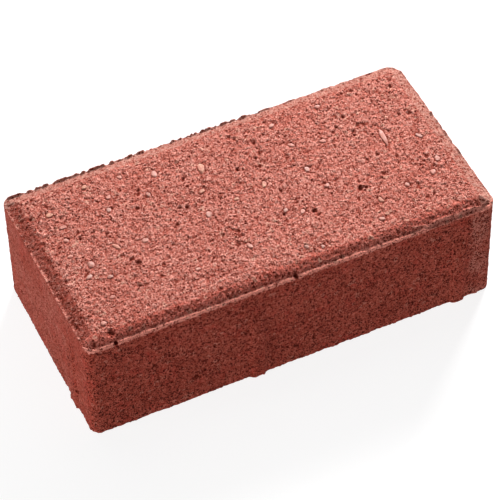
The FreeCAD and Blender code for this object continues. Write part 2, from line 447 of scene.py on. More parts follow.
        grit = graph.noise(place, 0.30, 3.0)
        height = dome * 0.50 + speck_dome * 0.22 + grit * 0.18 - crevice * 0.40
        rough = self.roughness + (fine - 0.5) * 0.2 + hollow * 0.15
        return graph.finish(
            {
                "Base Color": colour,
                "Roughness": rough,
                "Specular IOR Level": 0.06,
                "Normal": graph.bump(height * (open_face * 0.75 + 0.25), 0.50, 0.75),
            }
        )


@dataclass(frozen=True)
class PebbleFinish:
    """A worn pebble with mineral flecks and a little red cement left on it."""

    name: str
    body: Colour
    fleck: Colour
    fleck_share: float
    cement: Colour = (0.58, 0.20, 0.15)
    roughness: float = 0.55

    def make(self) -> bpy.types.Material:
        """Build the material.

        Returns:
            The material; the cement lies where the mesh's points say, and in spots.
        """
        graph = Graph(self.name)
        place = graph.place()
        fleck = graph.grain_tone(place, 0.42).ramp(1.0 - self.fleck_share, 1.0)
        cloud = graph.noise(place, 1.3, 3.0)
        film = graph.noise(place, 1.6, 4.0, 0.6).ramp(0.44, 0.64) * 0.75
        film = film + graph.attribute("film") * 0.8
        colour = graph.tint(self.body, self.fleck, fleck * 0.7)
        colour = graph.tint(colour, tuple(part * 0.72 for part in self.body), cloud.ramp(0.45, 0.8) * 0.6)
        colour = graph.tint(colour, self.cement, film.ramp(0.0, 1.0) * 0.85)
        pitting = graph.noise(place, 0.35, 4.0)
        rough = self.roughness + film * 0.25 + (cloud - 0.5) * 0.2
        return graph.finish(
            {
                "Base Color": colour,
                "Roughness": rough,
                "Normal": graph.bump(pitting, 0.12, 0.5),
            }
        )


@dataclass(frozen=True)
class TableFinish:
    """A white acrylic table top, evenly lit from below, with a faint mottle."""

    name: str = "light_table"
    sheet: Colour = (0.26, 0.26, 0.26)
    mottle: Colour = (0.25, 0.25, 0.252)
    glow: float = 0.87

    def make(self) -> bpy.types.Material:
        """Build the material.

        Returns:
            The material.
        """
        graph = Graph(self.name)
        place = graph.place()
        cloud = graph.noise(place, 60.0, 3.0)
        tooth = graph.noise(place, 0.8, 2.0)
        colour = graph.tint(self.sheet, self.mottle, cloud)
        return graph.finish(
            {
                "Base Color": colour,
                "Roughness": 0.9,
                "Specular IOR Level": 0.2,
                "Emission Color": (1.0, 1.0, 1.0, 1.0),
                "Emission Strength": self.glow,
                "Normal": graph.bump(tooth, 0.03, 0.3),
            }
        )


class StoneKind(Enum):
    """The rocks of the facing mix, each with its finish and the CAD nodes' name."""

    PALE_GRANITE = PebbleFinish("pale_granite", (0.64, 0.30, 0.24), (0.80, 0.50, 0.43), 0.28)
    GREY_LIMESTONE = PebbleFinish("grey_limestone", (0.54, 0.26, 0.205), (0.66, 0.41, 0.35), 0.25)
    BUFF_SANDSTONE = PebbleFinish("buff_sandstone", (0.68, 0.30, 0.19), (0.80, 0.42, 0.29), 0.25)
    PINK_GRANITE = PebbleFinish("pink_granite", (0.64, 0.26, 0.195), (0.80, 0.43, 0.35), 0.25)

    @classmethod
    def of_node(cls, node: str) -> "StoneKind":
        """Find the kind that a CAD node's name starts with."""
        return next(kind for kind in cls if node.startswith(kind.value.name))


# ---- Meshes ----


class Side(Enum):
    """The six sides of a box, in the order in which a shell's faces name them."""

    FRONT = 0
    RIGHT = 1
    BACK = 2
    LEFT = 3
    TOP = 4
    BOTTOM = 5


def vertex_normals(points: Array, quads: Array) -> Array:
    """Average the normals of the quads that meet at each point.

    Args:
        points: Places, shaped (n, 3).
        quads: Corner numbers, shaped (m, 4).

    Returns:
        Unit normals, shaped (n, 3).
    """
    corners = points[quads]
    across = np.cross(corners[:, 2] - corners[:, 0], corners[:, 3] - corners[:, 1])
    total = np.zeros_like(points)
    for corner in range(4):
        np.add.at(total, quads[:, corner], across)
    return total / np.maximum(np.linalg.norm(total, axis=1, keepdims=True), 1e-12)


@dataclass
class GridShell:
    """A closed box of small quads, whose points are moved later to make a surface.

    The upright sides are one ring of columns, counter-clockwise from the front left corner. A cap's grid
    uses every cap_step-th line; a cap that nothing shows is a single face.
    """

    xs: Array
    ys: Array
    rows: int
    top_step: int
    bottom_step: int
    box: Array = field(init=False)
    row: Array = field(init=False)
    faces: list[Sequence[int]] = field(init=False)
    face_side: list[int] = field(init=False)
    quads: Array = field(init=False)

    def __post_init__(self) -> None:
        """Number the points and faces."""
        across, along = len(self.xs) - 1, len(self.ys) - 1
        ring = [(i, 0) for i in range(across)] + [(across, j) for j in range(along)]
        ring += [(i, along) for i in range(across, 0, -1)] + [(0, j) for j in range(along, 0, -1)]
        sides = [Side.FRONT] * across + [Side.RIGHT] * along + [Side.BACK] * across + [Side.LEFT] * along
        columns = len(ring)
        ring_xy = np.array([(self.xs[i], self.ys[j]) for i, j in ring])
        self.box = np.tile(ring_xy, (self.rows, 1))
        self.row = np.repeat(np.arange(self.rows), columns)

        number = np.arange(self.rows * columns).reshape(self.rows, columns)
        following = np.roll(number, -1, axis=1)
        wall = np.stack([number[:-1], following[:-1], following[1:], number[1:]], axis=-1)
        walls = wall.reshape(-1, 4)
        self.faces = walls.tolist()
        self.face_side = [side.value for side in sides] * (self.rows - 1)
        quads = [walls]
        for side, step, edge_row in (
            (Side.TOP, self.top_step, self.rows - 1),
            (Side.BOTTOM, self.bottom_step, 0),
        ):
            quads.append(self._add_cap(side, step, number[edge_row], ring))
        self.quads = np.concatenate([part for part in quads if len(part)])

    def _add_cap(self, side: Side, step: int, edge: Array, ring: list[tuple[int, int]]) -> Array:
        """Close the top or the bottom.

        Args:
            side: Which of the two.
            step: How many lines apart the cap's own lines are, or 0 for a single face.
            edge: The numbers of the points round the cap.
            ring: The same points' places on the grid.

        Returns:
            The cap's four-cornered faces.
        """
        turn = 1 if side is Side.TOP else -1
        if step == 0:
            self.faces.append(edge[::turn].tolist())
            self.face_side.append(side.value)
            return np.zeros((0, 4), dtype=np.int64)

        number = np.full((len(self.xs), len(self.ys)), -1, dtype=np.int64)
        ring_i, ring_j = np.array(ring).T
        number[ring_i, ring_j] = edge
        lines_i = self._lines(len(self.xs), step)
        lines_j = self._lines(len(self.ys), step)
        inner_i, inner_j = np.meshgrid(lines_i[1:-1], lines_j[1:-1], indexing="ij")
        start = len(self.box)
        number[inner_i, inner_j] = start + np.arange(inner_i.size).reshape(inner_i.shape)
        inner = np.stack([self.xs[inner_i.ravel()], self.ys[inner_j.ravel()]], axis=1)
        self.box = np.concatenate([self.box, inner])
        row = self.rows - 1 if side is Side.TOP else 0
        self.row = np.concatenate([self.row, np.full(inner_i.size, row)])

        quads = []
        last_i, last_j = len(lines_i) - 2, len(lines_j) - 2
        for a, b in itertools.product(range(last_i + 1), range(last_j + 1)):
            i0, i1, j0, j1 = lines_i[a], lines_i[a + 1], lines_j[b], lines_j[b + 1]
            if step == 1 or (0 < a < last_i and 0 < b < last_j):
                corners = [number[i0, j0], number[i1, j0], number[i1, j1], number[i0, j1]]
            else:
                walk = [(i, j0) for i in range(i0, i1)] + [(i1, j) for j in range(j0, j1)]
                walk += [(i, j1) for i in range(i1, i0, -1)] + [(i0, j) for j in range(j1, j0, -1)]
                corners = [number[place] for place in walk if number[place] >= 0]
            face = [int(corner) for corner in corners[::turn]]
            self.faces.append(face)
            self.face_side.append(side.value)
            if len(face) == 4:
                quads.append(face)
        return np.array(quads)

    @staticmethod
    def _lines(count: int, step: int) -> Array:
        """Give every step-th line and the last."""
        lines = list(range(0, count - 1, step))
        return np.array(lines + [count - 1])

    @property
    def cap_points(self) -> Array:
        """Say which points lie inside a cap, away from the ring.

        Returns:
            True for those points, shaped (n,).
        """
        inside = np.ones(len(self.box), dtype=bool)
        inside[: self.rows * 2 * (len(self.xs) + len(self.ys) - 2)] = False
        return inside


@dataclass
class Skin:
    """A shell's points on the way to their final place, with what the finish needs to know of each."""

    points: Array
    normals: Array
    marks: dict[str, Array]

    def push(self, distance: Array) -> None:
        """Move every point along its normal."""
        self.points = self.points + self.normals * distance[:, None]


def make_piece(
    name: str,
    points: Array,
    faces: Iterable[Sequence[int]],
    marks: dict[str, Array],
    material: bpy.types.Material,
) -> bpy.types.Object:
    """Make one mesh object from places in millimetres.

    Args:
        name: The piece's name.
        points: Its places, shaped (n, 3).
        faces: The corner numbers of each face.
        marks: Numbers stored at the points, by name.
        material: Its finish.

    Returns:
        The object, linked into the scene.
    """
    mesh = bpy.data.meshes.new(name)
    mesh.from_pydata((points * MM).tolist(), [], list(faces))
    mesh.shade_smooth()
    for mark, values in marks.items():
        layer = mesh.attributes.new(mark, "FLOAT", "POINT")
        layer.data.foreach_set("value", values.astype(np.float32))
    mesh.materials.append(material)
    piece = bpy.data.objects.new(name, mesh)
    bpy.context.scene.collection.objects.link(piece)
    return piece


@dataclass(frozen=True)
class Patch:
    """Where one side of a shell lies on the bake map, in millimetres, and at what scale."""

    left: float
    bottom: float
    scale: float = 1.0


def lay_out(piece: bpy.types.Object, shell: GridShell, levels: Array, patches: dict[Side, Patch]) -> None:
    """Unwrap a shell side by side, from its box before anything was moved.

    Args:
        piece: The shell's object.
        shell: The shell.
        levels: The height of each row.
        patches: Where each side goes on a square map.
    """
    lengths = [len(face) for face in shell.faces]
    corners = np.concatenate([np.asarray(face) for face in shell.faces])
    side = np.repeat(np.array(shell.face_side), lengths)
    x, y = shell.box[corners].T
    z = levels[shell.row[corners]]
    x, y, z = x - shell.xs[0], y - shell.ys[0], z - levels[0]
    width, depth = np.ptp(shell.xs), np.ptp(shell.ys)
    flat = {
        Side.FRONT: (x, z),
        Side.RIGHT: (y, z),
        Side.BACK: (width - x, z),
        Side.LEFT: (depth - y, z),
        Side.TOP: (x, y),
        Side.BOTTOM: (x, depth - y),
    }
    places = np.zeros((len(corners), 2))
    for name, patch in patches.items():
        chosen = side == name.value
        across, up = flat[name]
        places[chosen, 0] = patch.left + across[chosen] * patch.scale
        places[chosen, 1] = patch.bottom + up[chosen] * patch.scale
    places /= places.max() + min(patch.left for patch in patches.values())
    layer = piece.data.uv_layers.new(name=BAKE_MAP)
    layer.uv.foreach_set("vector", places.astype(np.float32).ravel())


# ---- The block's shape ----


@dataclass(frozen=True)
class BlockShape:
    """The block's outline and levels."""

    half_length: float
    half_width: float
    height: float
    bond_level: float
    corner_radius: float = 4.5
    worn_radius: float = 7.5
    chamfer_inset: float = 6.4
    chamfer_drop: float = 2.8
    grid: float = 0.51

    @classmethod
    def from_frame(cls) -> "BlockShape":
        """Read the facing course's box, which has no nibs."""
        low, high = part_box("facing_course")
        return cls(high[0] / MM, high[1] / MM, high[2] / MM, low[2] / MM)

    @property
    def foot(self) -> float:
        """Give the level of the chamfer's foot."""
        return self.height - self.chamfer_drop

    def lines(self, half: float) -> Array:
        """Give one direction's grid lines, closer together by the edges.

        Args:
            half: Half the block's size in that direction.

        Returns:
            Places from -half to half.
        """
        edge = np.array([0.0, 0.22, 0.45, 0.72, 1.05, 1.5])
        count = int(round((half - 2.0) * 2 / self.grid))
        middle = np.linspace(-half + 2.0, half - 2.0, count + 1)
        return np.concatenate([-half + edge, middle, half - edge[::-1]])

    def round_corners(self, box: Array) -> Array:
        """Move places on the square-cornered block to the round-cornered one.

        Args:
            box: Places in plan, shaped (n, 2).

        Returns:
            The moved places.
        """
        size = np.array([self.half_length, self.half_width])
        sign = np.where(box < 0, -1.0, 1.0)
        past = np.abs(box) - (size - self.corner_radius)
        low, high = past.min(axis=1), past.max(axis=1)
        inside = low > 0
        share = np.where(inside, low / np.maximum(high, 1e-9), 0.0) * math.pi / 4
        turn = np.where(past[:, 0] >= past[:, 1], share, math.pi / 2 - share)
        arc = np.stack([np.cos(turn), np.sin(turn)], axis=1) * high[:, None]
        moved = sign * (size - self.corner_radius + arc)
        return np.where(inside[:, None], moved, box)

    def wear_corner(self, plan: Array, inset: Array) -> tuple[Array, Array]:
        """Round the back right corner further, as handling has.

        Args:
            plan: Places in plan.
            inset: Their distances in from the outline.

        Returns:
            The moved places and their new distances.
        """
        middle = np.array([self.half_length, self.half_width]) - self.worn_radius
        outward = plan - middle
        within = (outward > 0).all(axis=1)
        distance = np.maximum(np.linalg.norm(outward, axis=1), 1e-9)
        ahead, aside = outward.max(axis=1) / distance, outward.min(axis=1) / distance
        core = self.worn_radius - self.corner_radius
        arc = core * (ahead + aside) + np.sqrt(self.corner_radius**2 - core**2 * (ahead - aside) ** 2)
        straight = self.worn_radius / np.maximum(ahead, 1e-9)
        outline = np.where(straight * aside > core, arc, straight)
        shrink = np.where(within, self.worn_radius / np.maximum(outline, 1e-9), 1.0)[:, None]
        moved = np.where(within[:, None], middle + outward * shrink, plan)
        rounded = self.worn_radius - distance * shrink[:, 0]
        return moved, np.where(within, np.maximum(rounded, 0.0), inset)

    def weathering(self, points: Array) -> Array:
        """Give how fully the sides take their darker, redder colour, which is painted shade; that the back
        and the right end take less of it is a guess.

        Args:
            points: Places in space.

        Returns:
            A share at each place, 1 for the full painted shade.
        """
        right = ease(self.half_length - 2.5, self.half_length - 0.3, points[:, 0])
        back = ease(self.half_width - 2.5, self.half_width - 0.3, points[:, 1])
        return 1.0 - 0.55 * np.maximum(right, back)

    def inset(self, plan: Array) -> Array:
        """Give each place's distance in from the outline.

        Args:
            plan: Places in plan.

        Returns:
            The distances.
        """
        size = np.array([self.half_length, self.half_width])
        past = np.abs(plan) - (size - self.corner_radius)
        corner = self.corner_radius - np.linalg.norm(np.maximum(past, 0.0), axis=1)
        straight = (size - np.abs(plan)).min(axis=1)
        return np.where((past > 0).all(axis=1), corner, straight)

    def edge_place(self, plan: Array) -> Array:
        """Find the nearest place on the outline.

        Args:
            plan: Places in plan.

        Returns:
            The found places, in space and at the chamfer's foot.
        """
        size = np.array([self.half_length, self.half_width])
        core = size - self.corner_radius
        sign = np.where(plan < 0, -1.0, 1.0)
        past = np.abs(plan) - core
        reach = np.maximum(past, 0.0)
        length = np.maximum(np.linalg.norm(reach, axis=1, keepdims=True), 1e-9)
        arc = sign * (core + reach / length * self.corner_radius)
        nearer_x = (size[0] - np.abs(plan[:, 0])) < (size[1] - np.abs(plan[:, 1]))
        straight = plan.copy()
        straight[nearer_x, 0] = sign[nearer_x, 0] * size[0]
        straight[~nearer_x, 1] = sign[~nearer_x, 1] * size[1]
        edge = np.where((past > 0).all(axis=1)[:, None], arc, straight)
        return np.concatenate([edge, np.full((len(plan), 1), self.foot)], axis=1)


@dataclass(frozen=True)
class Spot:
    """A hollow at a chosen place: its middle, its radius and its depth."""

    place: tuple[float, float, float]
    radius: float
    depth: float


@dataclass(frozen=True)
class Texture:
    """How open a stretch of the surface is: heights and depths in millimetres, shares from 0 to 1."""

    dome: float
    crevice: float
    step: float
    wave: float
    pit_share: float
    pit_depth: float
    calm: float


class Cast(Enum):
    """The kinds of surface that pressing leaves."""

    # dome, crevice, step, wave, pit share, pit depth, calm
    WEARING = Texture(0.26, 0.30, 0.28, 0.12, 0.040, 0.55, 0.0)
    CHAMFER = Texture(0.18, 0.26, 0.20, 0.16, 0.025, 0.50, 0.10)
    FACING_SIDE = Texture(0.09, 0.15, 0.10, 0.08, 0.020, 0.40, 0.0)
    BACKING_SIDE = Texture(0.11, 0.18, 0.13, 0.09, 0.030, 0.45, 0.0)
    BED = Texture(0.20, 0.34, 0.24, 0.12, 0.14, 0.70, 0.15)


@dataclass
class ConcreteRelief:
    """The granular relief of pressed concrete, the same field for both courses so that they meet."""

    shape: BlockShape
    spots: tuple[Spot, ...] = ()
    coarse_grain: float = 1.75
    fine_grain: float = 1.10
    pit_size: float = 1.75
    bend_size: float = 2.6
    bend_reach: float = 0.35
    wave_size: float = 9.0
    patch_size: float = 17.0
    edge_reach: float = 7.0

    def blend_textures(self, shares: dict[Cast, Array]) -> dict[str, Array]:
        """Mix the kinds of surface point by point.

        Args:
            shares: Each kind's share at each point; the shares of a point add up to 1.

        Returns:
            The mixed numbers, by name.
        """
        names = Texture.__dataclass_fields__
        return {
            name: sum(getattr(kind.value, name) * share for kind, share in shares.items()) for name in names
        }

    def apply(self, skin: Skin, shares: dict[Cast, Array], quiet: Array) -> None:
        """Push a skin into relief and mark its grains and hollows.

        Args:
            skin: The skin to change.
            shares: Each kind's share at each point.
            quiet: How far the relief is held back at each point, from 0 to 1.
        """
        mix = self.blend_textures(shares)
        place = skin.points
        wobble = [Noise(seed).smooth(place, self.bend_size) for seed in (31, 32, 33)]
        bend = np.stack(wobble, axis=1) * self.bend_reach
        coarse_near, coarse_gap, coarse_own = Noise(11).grains(place + bend, self.coarse_grain)
        fine_near, fine_gap, fine_own = Noise(12).grains(place + bend, self.fine_grain)
        _, pit_gap, pit_own = Noise(13).grains(place + bend * 1.6, self.pit_size)
        wave = Noise(14).layered(place, self.wave_size, 3)
        patch = Noise(15).layered(place, self.patch_size, 2)

        dome = 1.0 - (coarse_near / 1.3) ** 2 + 0.8 * (1.0 - (fine_near / 0.85) ** 2) - 1.1
        crevice = ease(0.42, 0.0, coarse_gap) * 0.8 + ease(0.30, 0.0, fine_gap) * 0.6
        openness = np.clip(0.75 + 0.55 * patch, 0.25, 1.4)
        pit_limit = mix["pit_share"] * openness
        pit = np.where(pit_own < pit_limit, ease(0.02, 0.55, pit_gap), 0.0)
        pit = pit * (0.45 + 0.55 * ease(pit_limit, pit_limit * 0.2, pit_own))

        height = mix["dome"] * dome + mix["wave"] * wave * 0.6
        height += mix["step"] * ((coarse_own - 0.5) + 0.7 * (fine_own - 0.5))
        height -= mix["crevice"] * crevice * openness + mix["pit_depth"] * pit
        # This mark carries painted shade: the finish darkens crevices, pits and voids by it.
        hollow = np.clip(0.42 * crevice * (0.4 + 1.6 * mix["crevice"]) + pit * 0.9, 0.0, 1.0)
        for spot in self.spots:
            distance = np.linalg.norm(place - np.array(spot.place), axis=1) / spot.radius
            ragged = distance + 0.45 * (fine_own - 0.5) + 0.25 * (coarse_own - 0.5)
            dip = ease(1.15, 0.35, ragged)
            height -= spot.depth * dip
            hollow = np.maximum(hollow, dip * 0.95)
        held = 1.0 - quiet
        skin.push(height * held)
        skin.marks["hollow"] = np.maximum(skin.marks.get("hollow", 0.0), hollow * held)
        skin.marks["grain"] = 0.6 * coarse_own + 0.4 * fine_own
        self.mark_edges(skin, place, shares.get(Cast.CHAMFER, np.zeros(len(place))), mix["calm"])

    def mark_edges(self, skin: Skin, place: Array, chamfer: Array, calm: Array) -> None:
        """Mark the chamfers' closed skin, the painted sheen that makes the back and right chamfers paler,
        and the calmer ends.

        Args:
            skin: The skin to mark.
            place: Its places before the relief.
            chamfer: The chamfer's share at each point.
            calm: How calm each point's kind of surface is.
        """
        length, width = self.shape.half_length, self.shape.half_width
        x, y, z = place.T
        outer = self.edge_reach
        on_end = ease(length - 1.2, length - 0.2, np.abs(x)) * ease(self.shape.height, self.shape.foot, z)
        pale = np.maximum(ease(width - outer, width - 5.0, y), ease(length - outer, length - 5.0, x))
        by_front = ease(1.0 + outer - width, outer - width, y) * ease(92.0, 84.0, x)
        skin.marks["skin"] = chamfer
        skin.marks["brow"] = chamfer * by_front
        # Painted sheen: the back and right chamfers take a paler, greyer colour where the light from behind
        # glances off them.
        skin.marks["bloom"] = chamfer * pale
        skin.marks["calm"] = np.maximum(np.maximum(calm, 0.30 * on_end), 0.30 * chamfer * pale)


# ---- The courses ----


@dataclass(frozen=True)
class Pebble:
    """One stone's place at the wearing face, read from its CAD node."""

    node: str
    middle: Array
    along: Array
    half_length: float
    half_width: float
    bottom: float

    @classmethod
    def from_node(cls, node: str, source: bpy.types.Object) -> "Pebble":
        """Measure a CAD stone.

        Args:
            node: The node's name.
            source: The node's object.

        Returns:
            The stone's middle, direction and sizes in millimetres.
        """
        points = np.array([vertex.co for vertex in source.data.vertices]) / MM
        plan = points[:, :2]
        middle = (plan.min(axis=0) + plan.max(axis=0)) / 2
        _, directions = np.linalg.eigh(np.cov((plan - middle).T))
        along = directions[:, 1]
        across = np.array([-along[1], along[0]])
        half_length = np.abs((plan - middle) @ along).max()
        half_width = np.abs((plan - middle) @ across).max()
        return cls(node, middle, along, half_length, half_width, points[:, 2].min())

    def reach(self, plan: Array) -> Array:
        """Measure out from the stone's middle.

        Args:
            plan: Places in plan.

        Returns:
            The distances, 1 at the stone's widest outline.
        """
        across = np.array([-self.along[1], self.along[0]])
        from_middle = plan - self.middle
        return np.hypot(from_middle @ self.along / self.half_length, from_middle @ across / self.half_width)


@dataclass
class FacingCourse:
    """The fine upper course: wearing face, chamfer, flash and the upper part of the sides."""

    shape: BlockShape
    relief: ConcreteRelief
    pebbles: list[Pebble]
    rows: int = 19
    flash_height: float = 0.85
    flash_breaks: tuple[tuple[float, float], ...] = ((0.5, 1.4), (-84.8, 1.3), (-9.3, 0.6), (42.0, 0.5))
    front_sag: float = 0.70
    lip_width: float = 1.25
    lip_depth: float = 0.60
    arris_sharpness: float = 14.0
    socket_depth: float = 0.85
    rim_depth: float = 0.20

    def flash(self, plan: Array) -> tuple[Array, Array]:
        """Work out the upstand along the edge.

        Args:
            plan: Places in plan.

        Returns:
            The flash's height above the chamfer at each place, and its own height before it fades inwards.
        """
        shape = self.shape
        edge = shape.edge_place(plan)
        x, y = edge[:, 0], edge[:, 1]
        back = ease(shape.half_width - 1.0, shape.half_width, y)
        right = ease(shape.half_length - 1.0, shape.half_length, x)
        left = ease(-shape.half_length + 1.0, -shape.half_length, x)
        front = 1.0 - np.clip(back + right + left, 0.0, 1.0)

        teeth = Noise(21).layered(edge, 1.9, 3)
        slow = Noise(22).smooth(edge, 21.0)
        clumps = ease(-0.55, -0.20, Noise(26).layered(edge, 4.2, 3))
        strong_back = back * ease(38.0, 10.0, x)
        curled_in = ease(63.0, 67.0, x) * ease(97.0, 90.0, x)
        crest = front * (0.74 + 0.30 * teeth) * (1.0 - 0.75 * curled_in) + back * (0.42 + 0.50 * teeth)
        crest += strong_back * clumps * (0.95 + 1.30 * teeth) + right * (0.70 + 0.75 * teeth)
        crest += left * (0.32 + 0.40 * clumps) * (0.65 + 0.65 * teeth)
        crest *= np.maximum(ease(-0.75, -0.30, slow) * 0.9 + 0.1, 0.85 * front)
        for middle, width in self.flash_breaks:
            crest *= 1.0 - front * ease(width, width * 0.4, np.abs(x - middle))
        crest = np.clip(crest, 0.0, 1.7) * self.flash_height
        inset = shape.inset(plan)
        width = 0.62 + 0.22 * Noise(23).layered(edge, 3.0, 2) + 0.60 * front
        return crest * ease(width + 0.40, 0.18 + 0.12 * front, inset), crest

    def double_flash(self, plan: Array) -> Array:
        """Raise the second ridge, just inside the first, that takes over near the front right corner.

        Args:
            plan: Places in plan.

        Returns:
            The ridge's height at each place.
        """
        x, y = plan[:, 0], plan[:, 1]
        along = np.stack([x, y * 0.0, y * 0.0], axis=1)
        line = -self.shape.half_width + 1.45 + 0.35 * Noise(24).layered(along, 6.0, 3)
        line += 0.8 * ease(66.0, 57.0, x)
        ends = ease(56.5, 60.5, x) * ease(96.5, 90.0, x) * (0.85 + 0.35 * Noise(27).layered(along, 2.0, 2))
        return ends * 0.62 * np.exp(-(((y - line) / 0.55) ** 2))

    def levels(self) -> Array:
        """Space out the rows before the flash is raised, closer together by the edge.

        Returns:
            The rows' levels.
        """
        low = self.shape.bond_level
        even = np.linspace(low, self.shape.foot - 0.7, self.rows - 3)
        return np.concatenate([even, self.shape.foot - np.array([0.4, 0.15]), [self.shape.foot]])

    def build(self) -> bpy.types.Object:
        """Build the course.

        Returns:
            The finished piece.
        """
        shape = self.shape
        shell = GridShell(shape.lines(shape.half_length), shape.lines(shape.half_width), self.rows, 1, 0)
        levels = self.levels()
        plan = shape.round_corners(shell.box)
        inset = shape.inset(plan)
        flash, crest = self.flash(plan)
        plan, inset = shape.wear_corner(plan, inset)
        steep = ease(-shape.half_width + 8.0, -shape.half_width + 5.0, plan[:, 1])
        rise = self.chamfer_rise(inset * (1.0 + 0.15 * steep))
        on_top = shell.row == self.rows - 1
        share = (levels[shell.row] - levels[0]) / (levels[-1] - levels[0])
        sag = self.front_sag * ease(-shape.half_width + 2.0, -shape.half_width + 1.0, plan[:, 1])
        wall = levels[shell.row] + (crest - sag) * share**4
        cap = shape.foot + rise * shape.chamfer_drop + flash + self.double_flash(plan) - sag
        points = np.concatenate([plan, np.where(on_top, cap, wall)[:, None]], axis=1)

        skin = Skin(points, vertex_normals(points, shell.quads), {})
        wander = inset + 0.5 * self.edge_wander(points)
        wearing = ease(shape.chamfer_inset - 0.9, shape.chamfer_inset + 0.7, wander)
        upright = np.where(on_top, ease(0.5, 0.0, inset), 1.0)
        shares = {
            Cast.WEARING: wearing,
            Cast.CHAMFER: (1.0 - wearing) * (1.0 - upright),
            Cast.FACING_SIDE: (1.0 - wearing) * upright,
        }
        second = self.double_flash(plan) * on_top
        below_lip = ease(shape.foot - 2.5, shape.foot - 0.3, points[:, 2])
        on_flash = crest * (upright * 0.4 * below_lip + ease(1.9, 0.5, inset) * on_top * 1.6)
        on_flash = np.clip(np.maximum(on_flash, second * 2.0), 0.0, 1.0)
        level = shape.foot - sag
        ragged = Noise(28).layered(points, 1.5, 2)
        # Painted highlight: the flash's crest and the inner ridge are painted bright where they catch the
        # light.
        from_lip = np.where(on_top, inset - self.lip_width, (level - self.lip_depth) - points[:, 2])
        lip = ease(0.25, -0.20, from_lip + 0.40 * ragged) * np.clip(0.90 - 0.35 * ragged, 0.0, 1.0)
        in_front = ease(-shape.half_width + 3.0, -shape.half_width + 2.0, plan[:, 1])
        lip = lip * np.clip(crest * 3.5, 0.0, 1.0) * in_front
        lip = np.maximum(lip, np.clip(second * 2.0, 0.0, 0.85))
        socket, rim = self.sockets(points)
        quiet = np.maximum(socket, 0.65 * on_flash)
        self.relief.apply(skin, shares, quiet)
        skin.points[:, 2] -= self.socket_depth * socket + self.rim_depth * rim
        # More painted shade in the rims round the stones and under them.
        skin.marks["hollow"] = np.clip(skin.marks["hollow"] + 0.30 * rim + 0.5 * socket, 0.0, 1.0)
        skin.marks["skin"] = skin.marks["skin"] * (1.0 - on_flash)
        skin.marks["brow"] = skin.marks["brow"] * (1.0 - on_flash)
        # Painted highlight: the flash's top takes the lightest grain tone.
        skin.marks["grain"] = np.maximum(skin.marks["grain"], 0.95 * ease(0.15, 0.6, on_flash) * on_top)
        skin.marks["dust"] = dust(skin.points) * ease(shape.foot - 0.5, shape.foot - 4.0, skin.points[:, 2])
        # The side mark carries the sides' painted shade; it is kept off the flash and the lip and lessened
        # at the back and the right end.
        skin.marks["side"] = upright * (1.0 - np.maximum(0.8 * on_flash, lip)) * shape.weathering(points)
        skin.marks["lip"] = lip
        keep_bond(skin, shell, shape)

        material = ConcreteFinish("facing_concrete").make()
        piece = make_piece("facing_course_cast", skin.points, shell.faces, skin.marks, material)
        lay_out(piece, shell, levels, facing_patches(shape))
        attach(piece, "root")
        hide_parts("facing_course")
        return piece

    def chamfer_rise(self, inset: Array) -> Array:
        """Work out the chamfer's rise, with a worn arris.

        Args:
            inset: Distances in from the outline.

        Returns:
            Shares from 0 at the chamfer's foot to 1 at the wearing face.
        """
        share = inset / self.shape.chamfer_inset
        return 1.0 - np.logaddexp(0.0, (1.0 - share) * self.arris_sharpness) / self.arris_sharpness

    @staticmethod
    def edge_wander(points: Array) -> Array:
        """Make the arris between chamfer and wearing face wander."""
        return Noise(25).layered(points, 5.0, 2)

    def sockets(self, points: Array) -> tuple[Array, Array]:
        """Find the places under the stones and the narrow rims round them.

        Args:
            points: Places in space.

        Returns:
            Two shares from 0 to 1: under a stone, and on its rim.
        """
        socket = np.zeros(len(points))
        rim = np.zeros(len(points))
        top = points[:, 2] > self.shape.foot
        for pebble in self.pebbles:
            close = top & (np.abs(points[:, :2] - pebble.middle).max(axis=1) < pebble.half_length + 3.0)
            reach = pebble.reach(points[close, :2])
            socket[close] = np.maximum(socket[close], ease(1.0, 0.72, reach))
            outside = (reach - 1.0) * pebble.half_width
            rim[close] = np.maximum(rim[close], ease(0.55, 0.0, np.abs(outside)))
        return socket, rim * (1.0 - socket)


def dust(points: Array) -> Array:
    """Mark the pale grey-brown cement bloom that the moulds leave on some stretches of the sides.

    Args:
        points: Places in space.

    Returns:
        Shares from 0 to 1.
    """
    x, y, _ = points.T
    cloud = Noise(41).layered(points, 11.0, 3)
    band = ease(6.5, 2.5, np.abs(x - 91.5)) * ease(-47.0, -48.6, y)
    end = ease(-96.0, -98.4, x) * ease(-30.0, -24.0, y) * 0.35
    return np.clip((band + end) * (0.75 + 0.6 * cloud), 0.0, 1.0)


def keep_bond(skin: Skin, shell: GridShell, shape: BlockShape) -> None:
    """Hold the row of points where the courses meet level, so that no gap opens between them.

    Args:
        skin: The course's skin.
        shell: Its grid of points.
        shape: The block's sizes.
    """
    at_bond = np.abs(skin.points[:, 2] - shape.bond_level) < 0.3
    edge_rows = (shell.row == 0) | (shell.row == shell.rows - 1)
    skin.points[at_bond & edge_rows, 2] = shape.bond_level


def facing_patches(shape: BlockShape) -> dict[Side, Patch]:
    """Set out the facing course's sides on the bake map.

    Args:
        shape: The block's sizes.

    Returns:
        A patch for each side.
    """
    gap = 2.0
    side_height = shape.chamfer_drop + shape.foot - shape.bond_level + 1.0
    width = shape.half_width * 2
    first = gap + width + gap
    return {
        Side.TOP: Patch(gap, gap),
        Side.FRONT: Patch(gap, first),
        Side.BACK: Patch(gap, first + side_height),
        Side.RIGHT: Patch(gap, first + 2 * side_height),
        Side.LEFT: Patch(gap + width + gap, first + 2 * side_height),
        Side.BOTTOM: Patch(gap, first + 3 * side_height, 0.45),
    }


